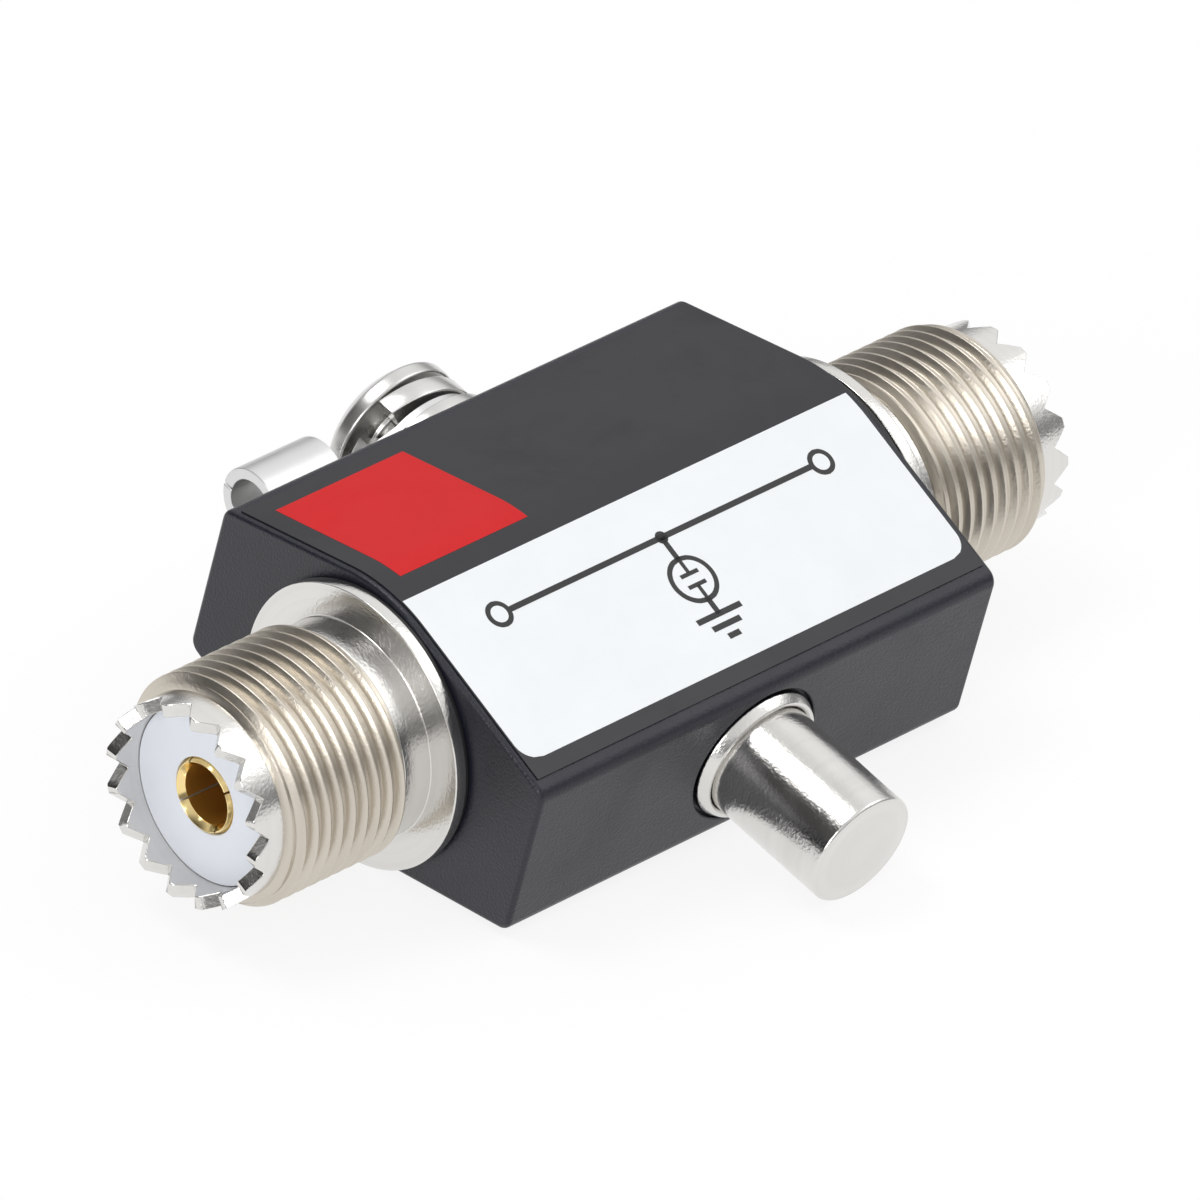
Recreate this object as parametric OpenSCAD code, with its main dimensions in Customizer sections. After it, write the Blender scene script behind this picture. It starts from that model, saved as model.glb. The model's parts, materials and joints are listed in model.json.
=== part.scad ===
// Inline coax lightning arrestor: a black block with a threaded socket at each end, a gas tube under a
// screw cap in the front face, and a ground screw with a crimp lug in the back face.
// In the block's own axes X runs along the coax line, Y to the back and Z up, from the middle of the line.
// The finished part lies as it comes to rest, on its lower ridge and the rim of the cap.

/* [Block] */
// Length of the block along the coax line
body_l = 40; // [34:0.5:60]
// Width of the block from the front face to the back face
body_w = 30.5; // [28:0.5:40]
// Height of the block over its rounded ridges
body_h = 20; // [19.8:0.1:26]
// Height of the flat front and back faces, to the sharp corner
side_h = 11.8; // [10.8:0.1:14]
// Radius of the rounded ridges
ridge_r = 11.5; // [8:0.5:14]
// How far the ridges lie behind the middle
ridge_y = 0.8; // [0:0.1:1.6]
// Radius of the four long edges
edge_r = 1; // [0.5:0.1:2]
// Bevel round both end faces
end_bevel = 0.35; // [0.1:0.05:0.8]
// Diameter of the bore round the line conductor
line_bore_d = 9.2; // [7:0.1:11]

/* [Sockets] */
// Crest diameter of the socket thread
thread_d = 15.875; // [13:0.125:16.25]
// Length of the threaded stretch
thread_l = 9.9; // [7:0.1:14]
// Bevel at the inner end of the thread
thread_bevel = 0.3; // [0.1:0.05:0.5]
// Lead-in at the outer end of the thread
thread_lead = 0.6; // [0.3:0.05:1]
// Pitch of the thread's turns
thread_pitch = 1.058; // [0.9:0.001:1.5]
// Depth of the thread
thread_cut = 0.5; // [0.2:0.01:0.6]
// Width of the thread's crest
crest_w = 0.25; // [0.1:0.01:0.4]
// Depth of the relief neck below the thread crest
neck_cut = 0.53; // [0.35:0.01:0.8]
// Length of the relief neck
neck_l = 2.25; // [1:0.05:3]
// How far the flange stands out from the thread crest
flange_rim = 1.76; // [1:0.02:1.88]
// Thickness of the flange
flange_t = 0.9; // [0.5:0.05:2]
// Bevel on the flange rim
flange_bevel = 0.12; // [0.05:0.01:0.2]
// Thickness of the gasket under the flange
gasket_t = 0.3; // [0.2:0.05:2]
// How far the gasket stays inside the flange's rim
gasket_inset = 0.1; // [0:0.05:0.5]
// How far the crown stands inside the thread crest
crown_cut = 0.98; // [0.7:0.02:1.4]
// Length of the crown past the thread
crown_l = 2.35; // [1.8:0.05:4]
// Wall of the crown
crown_wall = 0.9; // [0.3:0.01:1]
// Number of teeth on the crown
teeth = 16; // [12:1:24]
// Turn of the crown round the coax line
crown_turn = 18; // [0:0.5:30]
// Full angle of the gap between two teeth
tooth_angle = 85; // [60:1:110]
// Width of the flat that is left on each tooth, on the inside
tooth_land = 0.28; // [0.05:0.01:0.5]
// How far the insulator lies below the tips of the teeth
insulator_recess = 2; // [1.6:0.05:4]
// Length of the shell's tail in the block
tail_l = 7; // [4:0.1:10]
// How far the tail steps in from the neck
tail_step = 0.5; // [0.2:0.05:1]
// Wall of the tail
tail_wall = 1.9; // [1:0.05:2.5]

/* [Line] */
// Bore of the socket contacts
contact_bore_d = 4; // [3:0.05:5]
// Distance of that bore's floor from the block's end face
contact_floor = 3; // [1.5:0.1:6]
// Wall of the contacts
contact_wall = 0.6; // [0.55:0.01:0.8]
// How far the contacts stand out of the insulators
contact_proud = 0.2; // [0:0.01:0.5]
// Bevel at the mouth of the contacts
contact_mouth = 0.5; // [0.05:0.01:0.55]
// Number of slots in each contact
contact_slots = 4; // [2:1:6]
// Width of those slots
slot_w = 0.12; // [0.08:0.01:0.5]
// Length of those slots
slot_l = 7; // [4:0.1:9]
// How far the contacts reach into the block
contact_tail = 3; // [2:0.1:5]
// Diameter of the line conductor
conductor_d = 3; // [2:0.1:3.6]
// Length of the conductor's ends inside the contacts
conductor_seat_l = 4; // [2:0.1:5]
// Diameter of the conductor's collar under the gas tube
collar_d = 5.2; // [4.5:0.1:6.5]
// Length of that collar
collar_l = 7; // [5.6:0.1:10]
// Distance of the collar's flat from the coax line
collar_flat = 1.7; // [1.55:0.05:2.1]

/* [Gas tube and cap] */
// Diameter of the screw cap
cap_d = 8.1; // [7.5:0.1:9]
// How far the cap stands out of the front face
cap_l = 10.2; // [8:0.1:16]
// Length of the cap's threaded stem behind the front face
cap_stem_l = 7; // [4:0.1:8]
// Depth of the bore in that stem
cap_bore_l = 3.8; // [2.5:0.1:9]
// Radius of the edge round the cap's end
cap_edge = 0.25; // [0.1:0.05:0.8]
// Wall of the bush that the cap screws into
bush_wall = 0.6; // [0.4:0.05:1.1]
// How far the bush reaches past the cap's stem
bush_past = 0.8; // [0.3:0.1:2]
// How far the bush stands out of the front face
bush_proud = 0.7; // [0.2:0.05:1.5]
// Bevel at the mouth of the bush
bush_mouth = 0.2; // [0.05:0.05:0.35]
// Width of the open groove round the bush
groove_w = 0.4; // [0.1:0.05:0.5]
// Depth of that groove
groove_t = 0.6; // [0.2:0.05:1.5]
// Diameter of the gas tube
tube_d = 5.5; // [4:0.1:6.4]
// Length of the gas tube
tube_l = 6; // [4.5:0.1:7]
// Thickness of the gas tube's electrodes
electrode_t = 0.9; // [0.5:0.05:1.5]
// How far the ceramic steps in from the electrodes
ceramic_step = 0.2; // [0.05:0.05:0.5]
// Wire diameter of the spring behind the gas tube
spring_wire = 0.5; // [0.3:0.05:0.7]
// Turns of that spring
spring_turns = 4; // [3:1:7]

/* [Ground screw] */
// Thread diameter of the ground screw
screw_d = 5; // [4:0.1:6]
// Length of the ground screw under its head
screw_l = 10; // [8:0.1:12]
// Diameter of the screw head
head_d = 10; // [8:0.1:11]
// Height of the head's straight rim
head_rim = 1; // [0.6:0.05:2.5]
// Height of the head's dome above the rim
head_dome = 1.9; // [1:0.05:2.5]
// Depth of the cross recess
recess_t = 1.6; // [0.8:0.05:2]
// Length of the cross recess
recess_l = 4.8; // [3:0.1:6]
// Width of the cross recess
recess_w = 0.9; // [0.5:0.05:1.4]
// Rim width of the flat washer
washer_rim = 2.75; // [1.5:0.05:3]
// Thickness of the flat washer
washer_t = 0.9; // [0.5:0.05:1.6]
// Rim width of the spring washer
split_rim = 2.35; // [1.2:0.05:3]
// Thickness of the spring washer
split_t = 1.4; // [0.8:0.05:1.8]
// Rise of the spring washer from one cut end to the other
split_rise = 0.6; // [0.2:0.05:1.2]
// How steeply the spring washer's raised end falls, where 1 is an even slope all round
split_fall = 8; // [1:1:12]
// Angle of the spring washer's cut
split_cut = 30; // [8:1:40]
// Where the raised end is, as an angle round the screw
split_turn = 237; // [0:1:359]
// Sheet thickness of the lug
lug_t = 0.8; // [0.5:0.05:1.2]
// Rim width of the lug's ring
lug_rim = 2.1; // [1.5:0.05:3]
// Width of the lug's tongue at the barrel
lug_neck_w = 4; // [2.5:0.1:5]
// Distance from the screw to the lug's barrel
lug_reach = 7; // [6:0.1:12]
// Outer diameter of the lug's barrel
barrel_d = 5.16; // [4:0.02:6.5]
// Length of the lug's barrel
barrel_l = 6.05; // [4:0.05:10]
// Width of the seam along the barrel
seam_w = 0.2; // [0.1:0.05:0.5]

/* [Label] */
// Thickness of the label film
label_t = 0.12; // [0.05:0.01:0.3]
// How far the film stays from the bevels at the block's ends
label_end = 0.1; // [0:0.05:3]
// How far the film stays from the round long edges
label_side = 0.4; // [0.1:0.05:4]

/* [Fits] */
// Gap between pieces that are pressed or set together
fit_gap = 0.02; // [0.01:0.01:0.05]
// Gap between a screw and its thread
thread_gap = 0.05; // [0.02:0.01:0.1]
// Gap between faces that turn or slide on each other
face_gap = 0.05; // [0.02:0.01:0.1]
// Gap round the screw in the washers and the lug
washer_gap = 0.15; // [0.1:0.01:0.4]
// Gap round the gas tube in its bores
tube_gap = 0.2; // [0.1:0.05:0.4]
// Room left at the blind ends of bores
end_room = 0.3; // [0.1:0.1:1]

/* [Hidden] */

black_paint = [0.13, 0.13, 0.14];
black_rubber = [0.09, 0.09, 0.09];
nickel = [0.80, 0.77, 0.72];
white_plastic = [0.92, 0.92, 0.95];
gold = [0.83, 0.62, 0.22];
ceramic = [0.90, 0.88, 0.83];
zinc = [0.74, 0.75, 0.77];
film = [0.93, 0.94, 0.96];

overcut = 1;
round_fn = 96;
edge_fn = 32;

// Section of the block: where the ridge arcs and the corner arcs have their centres
ridge_z = body_h / 2 - ridge_r;
corner_run = body_w / 2;
corner_rise = side_h / 2 - ridge_z;
roof_angle = asin(ridge_r / norm([corner_run, corner_rise])) - atan2(corner_rise, corner_run);
corner_y = body_w / 2 - edge_r;
corner_z = side_h / 2 - edge_r * tan(45 - roof_angle / 2);

// Socket radii, worked inwards from the thread crest
thread_r = thread_d / 2;
flange_r = thread_r + flange_rim;
neck_r = thread_r - neck_cut;
crown_r = thread_r - crown_cut;
shell_bore_r = crown_r - crown_wall;
tail_r = neck_r - tail_step;
tail_bore_r = tail_r - tail_wall;

// Socket stations, counted outwards from the block's end face
flange_front = gasket_t + flange_t;
thread_start = flange_front + neck_l;
thread_end = thread_start + thread_l;
crown_tip = thread_end + crown_l;
insulator_face = crown_tip - insulator_recess;
contact_tip = insulator_face + contact_proud;
shell_step = thread_start;

// Half width and depth of the gap between two teeth
tooth_half = PI * shell_bore_r / teeth - tooth_land / 2;
tooth_depth = tooth_half / tan(tooth_angle / 2);

contact_bore_r = contact_bore_d / 2;
contact_r = contact_bore_r + contact_wall;
conductor_l = body_l - 2 * contact_tail + 2 * conductor_seat_l;

// Stations of the gas tube and cap, counted forwards from the coax line
front_face = body_w / 2;
cap_r = cap_d / 2;
cap_tip = front_face + cap_l;
stem_end = front_face - cap_stem_l;
bush_bore_r = cap_r + thread_gap;
bush_r = bush_bore_r + bush_wall;
bush_end = stem_end - bush_past;
bush_top = front_face + bush_proud;
tube_r = tube_d / 2;
tube_bore_r = tube_r + tube_gap;
tube_foot = collar_flat + face_gap;
tube_head = tube_foot + tube_l;
spring_head = stem_end + cap_bore_l - face_gap;
spring_r = tube_r - tube_gap - spring_wire;

// Stations of the ground screw's stack, counted outwards from the back face
screw_r = screw_d / 2;
screw_hole_r = screw_r + washer_gap;
lug_foot = washer_t + face_gap;
split_foot = lug_foot + lug_t + face_gap;
head_foot = split_foot + split_t + split_rise + face_gap;
head_r = head_d / 2;
head_top = head_foot + head_rim + head_dome;
dome_r = (head_r * head_r + head_dome * head_dome) / (2 * head_dome);
barrel_r = barrel_d / 2;
barrel_h = lug_foot + barrel_r;

// Rest: the line that touches the lower ridge's arc and the rim of the cap is the ground
rest_run = ridge_y + cap_tip - cap_edge;
rest_rise = cap_r - cap_edge - ridge_z;
rest_tilt = asin((ridge_r - cap_edge) / norm([rest_run, rest_rise])) - atan2(rest_rise, rest_run);
rest_lift = ridge_r - ridge_y * sin(rest_tilt) + ridge_z * cos(rest_tilt);
front_reach = (cap_tip - cap_edge) * cos(rest_tilt) + (cap_r - cap_edge) * sin(rest_tilt) + cap_edge;
back_reach = (front_face + head_top - dome_r) * cos(rest_tilt) + dome_r;
rest_shift = (front_reach - back_reach) / 2;

module at_rest() {
    translate([0, rest_shift, rest_lift])
        rotate([rest_tilt, 0, 0])
            children();
}

// The child's Z axis points out of an end face, from the face: side is -1 on the left, 1 on the right
module at_end(side) {
    rotate([0, 90 * side, 0])
        translate([0, 0, body_l / 2])
            children();
}

// The child's Z axis points forwards from the coax line
module to_front() {
    rotate([90, 0, 0])
        children();
}

// The child's Z axis points out of the back face, from the face
module at_back() {
    translate([0, front_face, 0])
        rotate([-90, 0, 0])
            children();
}

// Ring of outer radius r, inner radius hole_r and height h
module ring(r, hole_r, h) {
    difference() {
        cylinder(r = r, h = h, $fn = round_fn);
        translate([0, 0, -overcut])
            cylinder(r = hole_r, h = h + 2 * overcut, $fn = round_fn);
    }
}

// Solid swept through a list of rings of points that all have the same count
module swept(rings) {
    sides = len(rings[0]);
    last = len(rings) - 1;
    walls = [
        for (i = [0 : last - 1], j = [0 : sides - 1])
            let (a = i * sides + j, b = i * sides + (j + 1) % sides)
                each [[a, b, b + sides], [a, b + sides, a + sides]]
    ];
    start = [for (j = [sides - 1 : -1 : 0]) j];
    end = [for (j = [0 : sides - 1]) last * sides + j];
    polyhedron(points = [for (r = rings) each r], faces = concat(walls, [start, end]), convexity = 6);
}

// Half of a ridge: the part of its disc on its own side of the coax line
module ridge_disc(side, grow) {
    intersection() {
        translate([ridge_y, side * ridge_z])
            circle(r = ridge_r + grow, $fn = round_fn);
        translate([-body_w, side > 0 ? 0 : -body_h])
            square([2 * body_w, body_h]);
    }
}

// Section of the block, grown on every side
module block_section(grow = 0) {
    hull() {
        for (side = [-1, 1]) {
            ridge_disc(side, grow);
            for (face = [-1, 1])
                translate([face * corner_y, side * corner_z])
                    circle(r = edge_r + grow, $fn = edge_fn);
        }
    }
}

// Stretch of that section along the coax line
module block_bar(length, grow = 0) {
    rotate([90, 0, 90])
        translate([0, 0, -length / 2])
            linear_extrude(length)
                block_section(grow);
}

module block_form() {
    hull() {
        block_bar(body_l - 2 * end_bevel);
        block_bar(body_l, -end_bevel);
    }
}

module body_block() {
    color(black_paint)
        at_rest()
            difference() {
                block_form();
                rotate([0, 90, 0])
                    cylinder(d = line_bore_d, h = body_l + 2 * overcut, center = true, $fn = round_fn);
                for (side = [-1, 1])
                    at_end(side)
                        translate([0, 0, -tail_l - end_room])
                            cylinder(r = tail_r + fit_gap, h = tail_l + end_room + overcut, $fn = round_fn);
                to_front() {
                    cylinder(r = tube_bore_r, h = front_face, $fn = round_fn);
                    translate([0, 0, bush_end])
                        cylinder(r = bush_r + fit_gap, h = front_face, $fn = round_fn);
                    translate([0, 0, front_face - groove_t])
                        cylinder(r = bush_r + groove_w, h = groove_t + overcut, $fn = round_fn);
                }
                at_back()
                    translate([0, 0, head_foot - screw_l - end_room])
                        cylinder(r = screw_r + thread_gap, h = screw_l, $fn = round_fn);
            }
}

module gasket() {
    ring(flange_r - gasket_inset, tail_r + fit_gap, gasket_t);
}

// Gap between two teeth: a straight groove across the crown
module tooth_gap() {
    top_half = tooth_half + overcut * tan(tooth_angle / 2);
    translate([0, 0, crown_tip])
        rotate([90, 0, 90])
            linear_extrude(crown_r + overcut)
                polygon([[-top_half, overcut], [top_half, overcut], [0, -tooth_depth]]);
}

// The thread's turns are plain rings with 60 degrees between their flanks
module socket_shell() {
    turns = floor((thread_l - thread_bevel - thread_lead - crest_w) / thread_pitch);
    root_r = thread_r - thread_cut;
    flank_l = thread_cut * tan(30);
    foot_outline = [
        [tail_bore_r, -tail_l],
        [tail_r, -tail_l],
        [tail_r, gasket_t],
        [flange_r - flange_bevel, gasket_t],
        [flange_r, gasket_t + flange_bevel],
        [flange_r, flange_front - flange_bevel],
        [flange_r - flange_bevel, flange_front],
        [neck_r, flange_front],
        [neck_r, thread_start],
        [thread_r - thread_bevel, thread_start],
        [thread_r, thread_start + thread_bevel]
    ];
    turn_outline = [
        for (i = [0 : turns - 1])
            let (crest = thread_start + thread_bevel + i * thread_pitch)
                each [
                    [thread_r, crest + crest_w],
                    [root_r, crest + crest_w + flank_l],
                    [root_r, crest + thread_pitch - flank_l],
                    [thread_r, crest + thread_pitch]
                ]
    ];
    crown_outline = [
        [thread_r, thread_end - thread_lead],
        [crown_r, thread_end],
        [crown_r, crown_tip],
        [shell_bore_r, crown_tip],
        [shell_bore_r, shell_step],
        [tail_bore_r, shell_step]
    ];
    difference() {
        rotate_extrude($fn = round_fn)
            polygon(concat(foot_outline, turn_outline, crown_outline));
        for (i = [0 : teeth - 1])
            rotate([0, 0, crown_turn + i * 360 / teeth])
                tooth_gap();
    }
}

module insulator() {
    difference() {
        union() {
            translate([0, 0, -tail_l])
                cylinder(r = tail_bore_r - fit_gap, h = tail_l + insulator_face, $fn = round_fn);
            translate([0, 0, shell_step + fit_gap])
                cylinder(
                    r = shell_bore_r - fit_gap, h = insulator_face - shell_step - fit_gap, $fn = round_fn
                );
        }
        translate([0, 0, -tail_l - overcut])
            cylinder(r = contact_r + fit_gap, h = tail_l + insulator_face + 2 * overcut, $fn = round_fn);
    }
}

module contact() {
    seat_top = conductor_seat_l - contact_tail;
    outline = [
        [0, seat_top],
        [conductor_d / 2 + fit_gap, seat_top],
        [conductor_d / 2 + fit_gap, -contact_tail],
        [contact_r, -contact_tail],
        [contact_r, contact_tip],
        [contact_bore_r + contact_mouth, contact_tip],
        [contact_bore_r, contact_tip - contact_mouth],
        [contact_bore_r, contact_floor],
        [0, contact_floor]
    ];
    difference() {
        rotate_extrude($fn = round_fn)
            polygon(outline);
        for (i = [0 : contact_slots - 1])
            rotate([0, 0, (i + 0.5) * 360 / contact_slots])
                translate([0, -slot_w / 2, contact_tip - slot_l])
                    cube([contact_r + overcut, slot_w, slot_l + overcut]);
    }
}

module line_conductor() {
    color(gold)
        at_rest()
            difference() {
                rotate([0, 90, 0]) {
                    cylinder(d = conductor_d, h = conductor_l, center = true, $fn = round_fn);
                    cylinder(d = collar_d, h = collar_l, center = true, $fn = round_fn);
                }
                translate([-collar_l, -collar_d - collar_flat, -collar_d])
                    cube([2 * collar_l, collar_d, 2 * collar_d]);
            }
}

module cap_bush() {
    color(nickel)
        at_rest()
            to_front()
                rotate_extrude($fn = round_fn)
                    polygon([
                        [bush_bore_r, bush_end],
                        [bush_r, bush_end],
                        [bush_r, bush_top],
                        [bush_bore_r + bush_mouth, bush_top],
                        [bush_bore_r, bush_top - bush_mouth]
                    ]);
}

module tube_cap() {
    rim_r = cap_r - cap_edge;
    bore_end = stem_end + cap_bore_l;
    color(nickel)
        at_rest()
            to_front()
                rotate_extrude($fn = round_fn) {
                    polygon([
                        [tube_bore_r, stem_end],
                        [cap_r, stem_end],
                        [cap_r, cap_tip - cap_edge],
                        [rim_r, cap_tip - cap_edge],
                        [rim_r, cap_tip],
                        [0, cap_tip],
                        [0, bore_end],
                        [tube_bore_r, bore_end]
                    ]);
                    intersection() {
                        translate([rim_r, cap_tip - cap_edge])
                            circle(r = cap_edge, $fn = edge_fn);
                        translate([rim_r, cap_tip - cap_edge])
                            square(2 * cap_edge);
                    }
                }
}

// Ring of points round the spring's wire, at an angle and a height of its coil
function wire_ring(angle, height, sides = 8) = [
    for (k = [0 : sides - 1])
        let (
            turn = k * 360 / sides,
            r = spring_r + spring_wire / 2 + spring_wire / 2 * cos(turn),
            z = height + spring_wire / 2 * sin(turn)
        )
            [r * cos(angle), r * sin(angle), z]
];

module tube_spring() {
    steps_per_turn = 20;
    steps = spring_turns * steps_per_turn;
    low = tube_head + spring_wire / 2;
    high = spring_head - spring_wire / 2;
    color(zinc)
        at_rest()
            to_front()
                swept([
                    for (i = [0 : steps])
                        wire_ring(i * 360 / steps_per_turn, low + (high - low) * i / steps)
                ]);
}

module tube_ceramic() {
    color(ceramic)
        at_rest()
            to_front()
                translate([0, 0, tube_foot + electrode_t])
                    cylinder(r = tube_r - ceramic_step, h = tube_l - 2 * electrode_t, $fn = round_fn);
}

module electrode(foot) {
    to_front()
        translate([0, 0, foot])
            cylinder(r = tube_r, h = electrode_t, $fn = round_fn);
}

module tube_inner_electrode() {
    color(nickel)
        at_rest()
            electrode(tube_foot);
}

module tube_outer_electrode() {
    color(nickel)
        at_rest()
            electrode(tube_head - electrode_t);
}

module ground_screw() {
    color(zinc)
        at_rest()
            at_back()
                difference() {
                    union() {
                        translate([0, 0, head_foot - screw_l])
                            cylinder(r = screw_r, h = screw_l + head_rim, $fn = round_fn);
                        translate([0, 0, head_foot])
                            cylinder(r = head_r, h = head_rim, $fn = round_fn);
                        intersection() {
                            translate([0, 0, head_top - dome_r])
                                sphere(r = dome_r, $fn = round_fn);
                            translate([0, 0, head_foot + head_rim])
                                cylinder(r = head_d, h = head_dome + overcut, $fn = round_fn);
                        }
                    }
                    for (turn = [45, 135])
                        rotate([0, 0, turn])
                            translate([-recess_l / 2, -recess_w / 2, head_top - recess_t])
                                cube([recess_l, recess_w, recess_t + overcut]);
                }
}

// Cross-section of the spring washer at an angle, lifted along the screw
function split_ring(angle, lift) = [
    for (corner = [[0, 0], [split_rim, 0], [split_rim, split_t], [0, split_t]])
        let (r = screw_hole_r + corner[0])
            [r * cos(angle), r * sin(angle), lift + corner[1]]
];

module spring_washer() {
    steps = 60;
    sweep = 360 - split_cut;
    color(zinc)
        at_rest()
            at_back()
                translate([0, 0, split_foot])
                    rotate([0, 0, split_turn])
                        swept([
                            for (i = [0 : steps])
                                split_ring(i * sweep / steps, split_rise * pow(1 - i / steps, split_fall))
                        ]);
}

module flat_washer() {
    color(zinc)
        at_rest()
            at_back()
                ring(screw_hole_r + washer_rim, screw_hole_r, washer_t);
}

// Crimp lug: ring, tongue and rolled barrel, from one sheet, lying along the coax line to the left
module ground_lug() {
    ring_r = screw_hole_r + lug_rim;
    color(zinc)
        at_rest()
            at_back() {
                translate([0, 0, lug_foot])
                    linear_extrude(lug_t)
                        difference() {
                            union() {
                                circle(r = ring_r, $fn = round_fn);
                                polygon([
                                    [0, ring_r],
                                    [-lug_reach - lug_t, lug_neck_w / 2],
                                    [-lug_reach - lug_t, -lug_neck_w / 2],
                                    [0, -ring_r]
                                ]);
                            }
                            circle(r = screw_hole_r, $fn = round_fn);
                        }
                translate([-lug_reach, 0, barrel_h])
                    rotate([0, -90, 0])
                        difference() {
                            ring(barrel_r, barrel_r - lug_t, barrel_l);
                            translate([0, -seam_w / 2, -overcut])
                                cube([barrel_d, seam_w, barrel_l + 2 * overcut]);
                        }
            }
}

module label() {
    reach = corner_y + edge_r * sin(roof_angle) - label_side;
    color(film)
        at_rest()
            intersection() {
                difference() {
                    block_bar(body_l - 2 * (end_bevel + label_end), fit_gap + label_t);
                    block_bar(body_l, fit_gap);
                }
                translate([-body_l, -reach, 0])
                    cube([2 * body_l, 2 * reach, body_h]);
            }
}

module left_gasket() { color(black_rubber) at_rest() at_end(-1) gasket(); }
module right_gasket() { color(black_rubber) at_rest() at_end(1) gasket(); }
module left_shell() { color(nickel) at_rest() at_end(-1) socket_shell(); }
module right_shell() { color(nickel) at_rest() at_end(1) socket_shell(); }
module left_insulator() { color(white_plastic) at_rest() at_end(-1) insulator(); }
module right_insulator() { color(white_plastic) at_rest() at_end(1) insulator(); }
module left_contact() { color(gold) at_rest() at_end(-1) contact(); }
module right_contact() { color(gold) at_rest() at_end(1) contact(); }

body_block();
left_gasket();
right_gasket();
left_shell();
right_shell();
left_insulator();
right_insulator();
left_contact();
right_contact();
line_conductor();
cap_bush();
tube_cap();
tube_spring();
tube_ceramic();
tube_inner_electrode();
tube_outer_electrode();
ground_screw();
spring_washer();
flat_washer();
ground_lug();
label();
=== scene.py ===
"""Coax lightning arrestor: the finished pieces, their materials and a plain studio.

Sizes are in millimetres in the block's own axes: X runs along the coax line, Y to the back and Z up,
from the middle of the line. AT_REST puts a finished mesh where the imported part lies, in metres.
"""
import json
import math

import bmesh
import bpy
from mathutils import Matrix, Vector


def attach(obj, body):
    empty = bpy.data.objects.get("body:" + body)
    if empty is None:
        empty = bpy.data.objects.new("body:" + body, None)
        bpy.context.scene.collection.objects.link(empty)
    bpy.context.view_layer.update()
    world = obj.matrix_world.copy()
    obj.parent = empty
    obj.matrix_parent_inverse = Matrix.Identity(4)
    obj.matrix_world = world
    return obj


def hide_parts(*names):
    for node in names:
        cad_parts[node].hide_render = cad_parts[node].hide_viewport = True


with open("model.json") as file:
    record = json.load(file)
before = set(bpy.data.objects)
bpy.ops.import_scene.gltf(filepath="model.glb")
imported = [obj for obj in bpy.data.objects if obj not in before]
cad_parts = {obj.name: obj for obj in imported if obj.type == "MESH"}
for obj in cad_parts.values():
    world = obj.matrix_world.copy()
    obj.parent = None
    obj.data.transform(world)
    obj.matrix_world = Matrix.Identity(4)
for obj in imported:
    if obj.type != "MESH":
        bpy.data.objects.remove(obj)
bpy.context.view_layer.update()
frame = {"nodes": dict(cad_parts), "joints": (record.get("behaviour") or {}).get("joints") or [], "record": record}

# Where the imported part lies: the coax line's place and the tilt of the cap's axis
mounts = {mount["name"]: mount for mount in frame["record"]["mounts"]}
joints = {joint["name"]: joint for joint in frame["joints"]}
line_place = Vector(mounts["left_thread"]["pos_m"])
cap_axis = Vector(joints["cap_turn"]["axis"])
REST_TILT = math.atan2(-cap_axis.z, -cap_axis.y)
MM = 0.001
AT_REST = (
    Matrix.Translation((0, line_place.y, line_place.z))
    @ Matrix.Rotation(REST_TILT, 4, "X")
    @ Matrix.Scale(MM, 4)
)

# Block
BODY_L = 40.0
BODY_W = 30.5
BODY_H = 20.0
SIDE_H = 11.8
RIDGE_R = 11.5
RIDGE_Y = 0.8
RIDGE_Z = BODY_H / 2 - RIDGE_R
EDGE_R = 1.0
EDGE_BITS, RIDGE_BITS = 8, 28
END_BEVEL = 0.35
LINE_BORE_R = 4.6
FRONT = BODY_W / 2
CORNER_RISE = SIDE_H / 2 - RIDGE_Z
ROOF_ANGLE = math.asin(RIDGE_R / math.hypot(FRONT, CORNER_RISE)) - math.atan2(CORNER_RISE, FRONT)
CORNER_Y = FRONT - EDGE_R
CORNER_Z = SIDE_H / 2 - EDGE_R * math.tan(math.pi / 4 - ROOF_ANGLE / 2)

# Sockets, with stations counted outwards from the block's end face
GASKET_T = 0.3
GASKET_R = 9.5975
FLANGE_R = 9.6975
FLANGE_FRONT = 1.2
NECK_R = 7.4075
TAIL_R = 6.9075
TAIL_BORE_R = 5.0075
TAIL_L = 7.0
THREAD_START = 3.45
THREAD_STOP = 13.05
THREAD_R = 7.9375
THREAD_ROOT_R = 7.4375
THREAD_PITCH = 1.058
THREAD_CREST = 0.14
THREAD_RUN_OUT = 0.3
CROWN_R = 6.9575
CROWN_START = 13.35
CROWN_TIP = 15.7
SHELL_BORE_R = 6.0575
TEETH = 16
CROWN_TURN = 18.0
TOOTH_LAND = 0.28
TOOTH_ANGLE = 85.0
TOOTH_HALF = math.pi * SHELL_BORE_R / TEETH - TOOTH_LAND / 2
TOOTH_SLOPE = 1 / math.tan(math.radians(TOOTH_ANGLE / 2))
INSULATOR_FACE = 13.7
CONTACT_TIP = 13.9
CONTACT_R = 2.6
CONTACT_BORE_R = 2.0
CONTACT_MOUTH = 0.34
CONTACT_NOSE = 0.22
CONTACT_FLOOR = 3.0
CONTACT_TAIL = 3.0
SLOT_FOOT = 6.9
SLOT_W = 0.12
FINGERS = 4

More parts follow.
